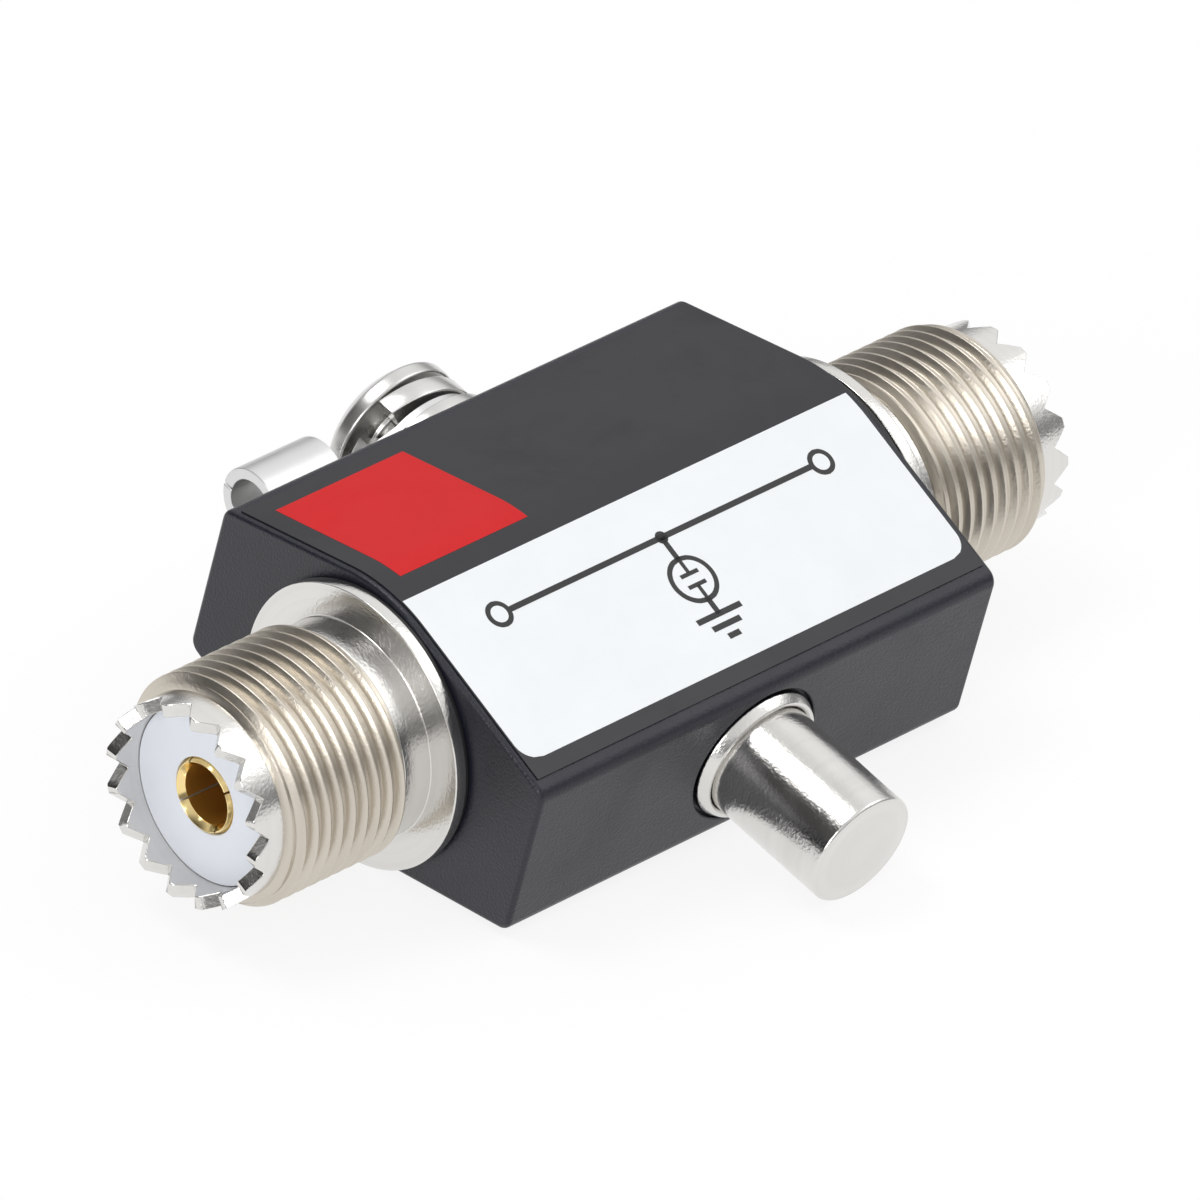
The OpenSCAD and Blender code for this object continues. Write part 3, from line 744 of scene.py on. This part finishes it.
cap_foot = turned([(0, STEM_BORE_END), (STEM_BORE_R, STEM_BORE_END), (STEM_BORE_R, STEM_END),
                   (STEM_ROOT_R, STEM_END)], closed=False)
cap_stem = threaded(CAP_R, STEM_ROOT_R, CAP_PITCH, CAP_CREST, STEM_END, STEM_TOP, CAP_RUN_OUT)
cap_rim = arc((CAP_R - CAP_EDGE, CAP_TIP - CAP_EDGE), CAP_EDGE, 0, 90, bits=6)
cap_head = turned([(STEM_ROOT_R, STEM_TOP), (CAP_R, STEM_TOP + CAP_SHOULDER), *cap_rim, (0, CAP_TIP)],
                  closed=False)
piece("screw_cap", (cap_foot + cap_stem + cap_head).placed(TO_FRONT), cap_nickel, "cap",
      ["tube_cap"], smooth=40)

# Ground screw and its stack

WASHER_EASE = 0.14
washer = turned(eased([(WASHER_HOLE_R, 0), (WASHER_R, 0), (WASHER_R, WASHER_T), (WASHER_HOLE_R, WASHER_T)],
                      WASHER_EASE))
piece("plain_washer", washer.placed(AT_BACK), screw_zinc, "block", ["flat_washer"])


def split_washer():
    """Square ring with a cut, one end lifted above the other."""
    section = eased([(WASHER_HOLE_R, 0), (SPLIT_R, 0), (SPLIT_R, SPLIT_T), (WASHER_HOLE_R, SPLIT_T)],
                    WASHER_EASE, bits=2)
    steps = 72
    sections = []
    for i in range(steps + 1):
        angle = math.radians(SPLIT_TURN + SPLIT_SWEEP * i / steps)
        lift = SPLIT_FOOT + SPLIT_RISE * (1 - i / steps) ** SPLIT_FALL
        sections.append([(p.x * math.cos(angle), p.x * math.sin(angle), lift + p.y) for p in section])
    return swept(sections)


piece("split_lock_washer", split_washer().placed(AT_BACK), screw_zinc, "screw_carrier", ["spring_washer"])


def screw_head():
    """Pan head with a rounded rim, on a threaded shank."""
    dome_r = (HEAD_R ** 2 + HEAD_DOME ** 2) / (2 * HEAD_DOME)
    lean = math.degrees(math.asin(HEAD_R / dome_r))
    dome = arc((0, HEAD_TOP - dome_r), dome_r, 90, 90 - lean, bits=16)[:-1]
    plain_end, thread_end = HEAD_FOOT - 0.3, HEAD_FOOT - 0.6
    rim = eased([dome[-1], (HEAD_R, HEAD_FOOT + HEAD_RIM), (HEAD_R, HEAD_FOOT), (SCREW_R, HEAD_FOOT),
                 (SCREW_R, plain_end), (SCREW_ROOT_R, thread_end)], ease=0.22, bits=4, closed=False)
    head = turned(dome[:-1] + [tuple(p) for p in rim], closed=False)
    shank = threaded(SCREW_R, SCREW_ROOT_R, SCREW_PITCH, SCREW_CREST, SCREW_TIP, thread_end, SCREW_RUN_OUT)
    tip = turned([(SCREW_ROOT_R, SCREW_TIP), (0, SCREW_TIP)], closed=False)
    return head + shank + tip


def recess_blade(turn):
    """One blade of the cross recess, which tapers inwards."""
    above = 0.5
    ends = []
    for height, (reach, half) in ((HEAD_TOP - RECESS_T, RECESS_FOOT_HALVES),
                                  (HEAD_TOP + above, RECESS_MOUTH_HALVES)):
        ends.append([(-reach, -half, height), (reach, -half, height), (reach, half, height), (-reach, half, height)])
    return swept(ends).placed(AT_BACK @ Matrix.Rotation(math.radians(turn), 4, "Z"))


screw = loose_mesh("ground_screw_pan", screw_head().placed(AT_BACK))
cut_away(screw, recess_blade(45), recess_blade(135))
finished(screw, screw_zinc, "screw", ["ground_screw"], smooth=40)


def lug_sheet():
    """Flat eye of the lug and the tongue that narrows towards its barrel."""
    outer = arc((0, 0), LUG_RING_R, -LUG_LEAVE, LUG_LEAVE, bits=84)
    outer += [(-LUG_REACH - LUG_T, LUG_NECK), (-LUG_REACH - LUG_T, -LUG_NECK)]
    turns = [math.atan2(y, x) for x, y in outer]
    hole = [(WASHER_HOLE_R * math.cos(turn), WASHER_HOLE_R * math.sin(turn)) for turn in turns]
    top = LUG_FOOT + LUG_T
    rims = ((hole, LUG_FOOT), (outer, LUG_FOOT), (outer, top), (hole, top))
    loops = [[(x, y, z) for x, y in rim] for rim, z in rims]
    points = [p for loop in loops for p in loop]
    return Shape(points, grid_faces(len(loops), len(outer), wrap_rows=True, wrap_columns=True))


def lug_barrel():
    """Barrel rolled from the sheet, with a seam that faces away from the block."""
    seam = math.degrees(SEAM_W / BARREL_R)
    bore_r = BARREL_R - LUG_T
    wall = eased([(bore_r, 0), (BARREL_R, 0), (BARREL_R, BARREL_L), (bore_r, BARREL_L)], ease=0.12)
    place = Matrix.Translation((-LUG_REACH, 0, LUG_FOOT + BARREL_R)) @ Matrix.Rotation(math.radians(-90), 4, "Y")
    return turned(wall, steps=72, start=seam / 2, sweep=360 - seam).placed(place)


piece("crimp_lug", (lug_sheet() + lug_barrel()).placed(AT_BACK), lug_tin, "lug", ["ground_lug"], bevel=0.06)

# Label: a black film over both slopes with plain colour fields and a drawn line diagram

def roof_point(x, y, lift):
    """Point over the roof at a place in plan, lifted along the roof's normal."""
    face = 1 if y > RIDGE_Y else -1
    normal = math.radians(ROOF[face])
    if abs(y - RIDGE_Y) < RIDGE_R * abs(math.cos(normal)):
        normal = math.acos((y - RIDGE_Y) / RIDGE_R)
        foot = Vector((RIDGE_Y, RIDGE_Z)) + RIDGE_R * Vector((math.cos(normal), math.sin(normal)))
    else:
        start = Vector((RIDGE_Y + RIDGE_R * math.cos(normal), RIDGE_Z + RIDGE_R * math.sin(normal)))
        foot = Vector((y, start.y - (y - start.x) / math.tan(normal)))
    spot = foot + lift * Vector((math.cos(normal), math.sin(normal)))
    return x, spot.x, spot.y


ROW_SPACING = 0.35


def film_rows(front, back, spacing):
    """Places from front to back, evenly spaced and no wider apart than asked."""
    count = max(2, math.ceil((back - front) / spacing))
    return [front + (back - front) * k / count for k in range(count + 1)]


def film_patch(front, back, edges, foot, top, spacing=ROW_SPACING):
    """Thin patch that follows the roof; edges gives its left and right ends at each place to the back."""
    sections = []
    for y in film_rows(front, back, spacing):
        left, right = edges(y)
        sections.append([roof_point(left, y, foot), roof_point(right, y, foot),
                         roof_point(right, y, top), roof_point(left, y, top)])
    return swept(sections)


def bar_patch(x0, x1, front, back, layer):
    """Printed bar, as high as its layer."""
    return film_patch(front, back, lambda y: (x0, x1), INK_FOOT, FILM_TOP + layer * INK_STEP)


def disc_patch(x, y, radius, layer):
    """Printed disc, as high as its layer, with short flats at its front and back."""
    flat, bits = 0.0004, 14

    def edges(place):
        half = math.sqrt(max(flat, radius ** 2 - (place - y) ** 2))
        return x - half, x + half
    return film_patch(y - radius, y + radius, edges, INK_FOOT, FILM_TOP + layer * INK_STEP, radius / bits)


def cornered(x0, x1, front, radius):
    """Ends of a field whose two front corners are rounded."""
    def edges(y):
        sink = max(0.0, front + radius - y)
        inset = radius - math.sqrt(max(0.0, radius ** 2 - sink ** 2))
        return x0 + inset, x1 - inset
    return edges


# Layers of print over the film, and the two fields by left, right, front and back
FIELD, DRAWN, BLANK, PLATE = 1, 2, 3, 4
WHITE_LEFT, WHITE_RIGHT, WHITE_FRONT, WHITE_BACK, WHITE_CORNER = -19.45, 19.35, -12.95, -0.1, 1.4
RED_LEFT, RED_RIGHT, RED_FRONT, RED_BACK = -18.0, -7.0, 1.7, 12.7

film = film_patch(-FILM_Y, FILM_Y, lambda y: (-FILM_X, FILM_X), FILM_FOOT, FILM_TOP)
piece("label_film", film, film_black, "block", ["label"])
white_ends = cornered(WHITE_LEFT, WHITE_RIGHT, WHITE_FRONT, WHITE_CORNER)
white = film_patch(WHITE_FRONT, WHITE_BACK, white_ends, INK_FOOT, FILM_TOP + FIELD * INK_STEP, spacing=0.2)
piece("label_white_field", white, field_white, "block")
red = bar_patch(RED_LEFT, RED_RIGHT, RED_FRONT, RED_BACK, FIELD)
piece("label_red_field", red, field_red, "block")

# The diagram: a line between two ends, a gas tube from its middle, and earth
LINE_Y, TUBE_Y, EARTH_Y, STROKE = -3.6, -6.9, -9.6, 0.2
LINE_REACH, END_X, END_R, END_HOLE_R, NODE_R = 13.2, 14.1, 0.95, 0.6, 0.45
TUBE_R, TUBE_HOLE_R = 1.75, 1.4
EARTH_HALVES, EARTH_STEP = (1.9, 1.2, 0.5), 0.8
PLATE_HALF, PLATE_NEAR, PLATE_FAR = 0.75, 0.28, 0.56
LEAD_HALF, LEAD_NEAR, LEAD_FAR = 0.14, 0.5, 1.42

drawing = bar_patch(-LINE_REACH, LINE_REACH, LINE_Y - STROKE, LINE_Y + STROKE, DRAWN)
drawing = drawing + disc_patch(-END_X, LINE_Y, END_R, DRAWN) + disc_patch(END_X, LINE_Y, END_R, DRAWN)
drawing = drawing + disc_patch(0, LINE_Y, NODE_R, DRAWN) + disc_patch(0, TUBE_Y, TUBE_R, DRAWN)
drawing = drawing + bar_patch(-STROKE, STROKE, EARTH_Y, LINE_Y, DRAWN)
for step, half in enumerate(EARTH_HALVES):
    middle = EARTH_Y - EARTH_STEP * step
    drawing = drawing + bar_patch(-half, half, middle - STROKE, middle + STROKE, DRAWN)
piece("label_diagram", drawing, ink_black, "block")
holes = disc_patch(-END_X, LINE_Y, END_HOLE_R, BLANK) + disc_patch(END_X, LINE_Y, END_HOLE_R, BLANK)
holes = holes + disc_patch(0, TUBE_Y, TUBE_HOLE_R, BLANK)
piece("label_diagram_holes", holes, field_white, "block")
plates = bar_patch(-PLATE_HALF, PLATE_HALF, TUBE_Y + PLATE_NEAR, TUBE_Y + PLATE_FAR, PLATE)
plates = plates + bar_patch(-PLATE_HALF, PLATE_HALF, TUBE_Y - PLATE_FAR, TUBE_Y - PLATE_NEAR, PLATE)
plates = plates + bar_patch(-LEAD_HALF, LEAD_HALF, TUBE_Y + LEAD_NEAR, TUBE_Y + LEAD_FAR, PLATE)
plates = plates + bar_patch(-LEAD_HALF, LEAD_HALF, TUBE_Y - LEAD_FAR, TUBE_Y - LEAD_NEAR, PLATE)
piece("label_diagram_plates", plates, ink_black, "block")

# Pieces that stay as the solids made them
for node, finish in (("line_conductor", contact_gold), ("tube_spring", screw_zinc), ("tube_ceramic", tube_white),
                     ("tube_inner_electrode", cap_nickel), ("tube_outer_electrode", cap_nickel)):
    solid = frame["nodes"][node]
    solid.data.materials.clear()
    solid.data.materials.append(finish)

# Studio: levels of the room by height and by how far a way turns to its dark wall

FLOOR_REACH, FLOOR_TONE, FLOOR_WHITE_SHARE = 3, 0.92, 0.86
ROOM_BY_HEIGHT = ((0.0, 0.45), (0.10, 0.22), (0.22, 0.28), (0.45, 0.95), (1.0, 1.0))
ROOM_BY_SIDE = ((0.0, 1.0), (0.2, 0.85), (0.6, 0.72), (0.76, 0.65), (0.92, 0.05))
DARK_WALL_WAY = (-0.82, 0.37, 0.43)
ROOM_STRENGTH = 1.05
PART_MIDDLE = Vector((0, 0, 0.01))


def studio_floor():
    """Pale floor that stays white for the camera and in reflections, and keeps a soft shadow."""
    mesh = bpy.data.meshes.new("floor")
    far = FLOOR_REACH
    mesh.from_pydata([(-far, -far, 0), (far, -far, 0), (far, far, 0), (-far, far, 0)], [], [(0, 1, 2, 3)])
    floor = bpy.data.objects.new("floor", mesh)
    bpy.context.scene.collection.objects.link(floor)
    paper = bpy.data.materials.new("floor_paper")
    paper.use_nodes = True
    tree = paper.node_tree
    tree.nodes.clear()
    rays = put(tree, "ShaderNodeLightPath")
    mirrored = put(tree, "ShaderNodeMath", operation="MAXIMUM")
    seen = put(tree, "ShaderNodeMath", operation="MAXIMUM")
    share = put(tree, "ShaderNodeMath", operation="MULTIPLY")
    share.inputs[1].default_value = FLOOR_WHITE_SHARE
    matt = put(tree, "ShaderNodeBsdfDiffuse", Color=(FLOOR_TONE, FLOOR_TONE, FLOOR_TONE, 1))
    glow = put(tree, "ShaderNodeEmission", Color=(1, 1, 1, 1), Strength=1.0)
    blend = put(tree, "ShaderNodeMixShader")
    out = put(tree, "ShaderNodeOutputMaterial")
    wire(tree, rays, "Is Glossy Ray", mirrored, 0)
    wire(tree, rays, "Is Transmission Ray", mirrored, 1)
    wire(tree, rays, "Is Camera Ray", seen, 0)
    wire(tree, mirrored, 0, seen, 1)
    wire(tree, seen, 0, share, 0)
    wire(tree, share, 0, blend, 0)
    wire(tree, matt, 0, blend, 1)
    wire(tree, glow, 0, blend, 2)
    wire(tree, blend, 0, out, "Surface")
    mesh.materials.append(paper)


def level_ramp(tree, levels):
    """Grey ramp through pairs of place and level."""
    ramp = put(tree, "ShaderNodeValToRGB")
    steps = ramp.color_ramp.elements
    while len(steps) < len(levels):
        steps.new(0.5)
    for step, (place, level) in zip(steps, levels):
        step.position = place
        step.color = (level, level, level, 1)
    return ramp


def studio_world():
    """A bright ceiling and walls over a dim horizon, with a dark wall at the back left."""
    world = bpy.data.worlds.new("studio")
    bpy.context.scene.world = world
    world.use_nodes = True
    tree = world.node_tree
    tree.nodes.clear()
    way = put(tree, "ShaderNodeTexCoord")
    parts = put(tree, "ShaderNodeSeparateXYZ")
    by_height = level_ramp(tree, ROOM_BY_HEIGHT)
    facing = put(tree, "ShaderNodeVectorMath", operation="DOT_PRODUCT")
    facing.inputs[1].default_value = DARK_WALL_WAY
    by_side = level_ramp(tree, ROOM_BY_SIDE)
    level = put(tree, "ShaderNodeMath", operation="MULTIPLY")
    room = put(tree, "ShaderNodeBackground", Strength=ROOM_STRENGTH)
    out = put(tree, "ShaderNodeOutputWorld")
    wire(tree, way, "Generated", parts, 0)
    wire(tree, way, "Generated", facing, 0)
    wire(tree, parts, "Z", by_height, "Fac")
    wire(tree, facing, "Value", by_side, "Fac")
    wire(tree, by_height, "Color", level, 0)
    wire(tree, by_side, "Color", level, 1)
    wire(tree, level, 0, room, "Color")
    wire(tree, room, 0, out, "Surface")


def softbox(name, place, size, power):
    """Square soft lamp that faces the part."""
    lamp = bpy.data.lights.new(name, "AREA")
    lamp.shape = "SQUARE"
    lamp.size = size
    lamp.energy = power
    holder = bpy.data.objects.new(name, lamp)
    holder.location = place
    holder.rotation_euler = (PART_MIDDLE - Vector(place)).to_track_quat("-Z", "Y").to_euler()
    bpy.context.scene.collection.objects.link(holder)


studio_floor()
studio_world()
softbox("key_overhead", (-0.19, 0.20, 0.72), 0.30, 1.5)
softbox("fill_left", (-0.75, -0.2, 0.3), 0.4, 2.3)
softbox("fill_right_front", (0.45, -0.25, 0.6), 0.5, 0.7)

# Camera, fitted to the photo's edges
lens = bpy.data.cameras.new("camera")
lens.lens = 559.0
lens.sensor_width = 36.0
lens.clip_start = 0.1
lens.clip_end = 10.0
camera = bpy.data.objects.new("camera", lens)
camera_place = Vector((-0.7107, -0.70702, 0.6378))
looks_along = Vector((0.6006, 0.5988, -0.5298))
right_hand = Vector((0.7222, -0.6907, 0.0381))
up_hand = right_hand.cross(looks_along)
camera.matrix_world = Matrix((
    (right_hand.x, up_hand.x, -looks_along.x, camera_place.x),
    (right_hand.y, up_hand.y, -looks_along.y, camera_place.y),
    (right_hand.z, up_hand.z, -looks_along.z, camera_place.z),
    (0, 0, 0, 1),
))
bpy.context.scene.collection.objects.link(camera)
bpy.context.scene.camera = camera
bpy.context.scene.view_settings.view_transform = "Standard"
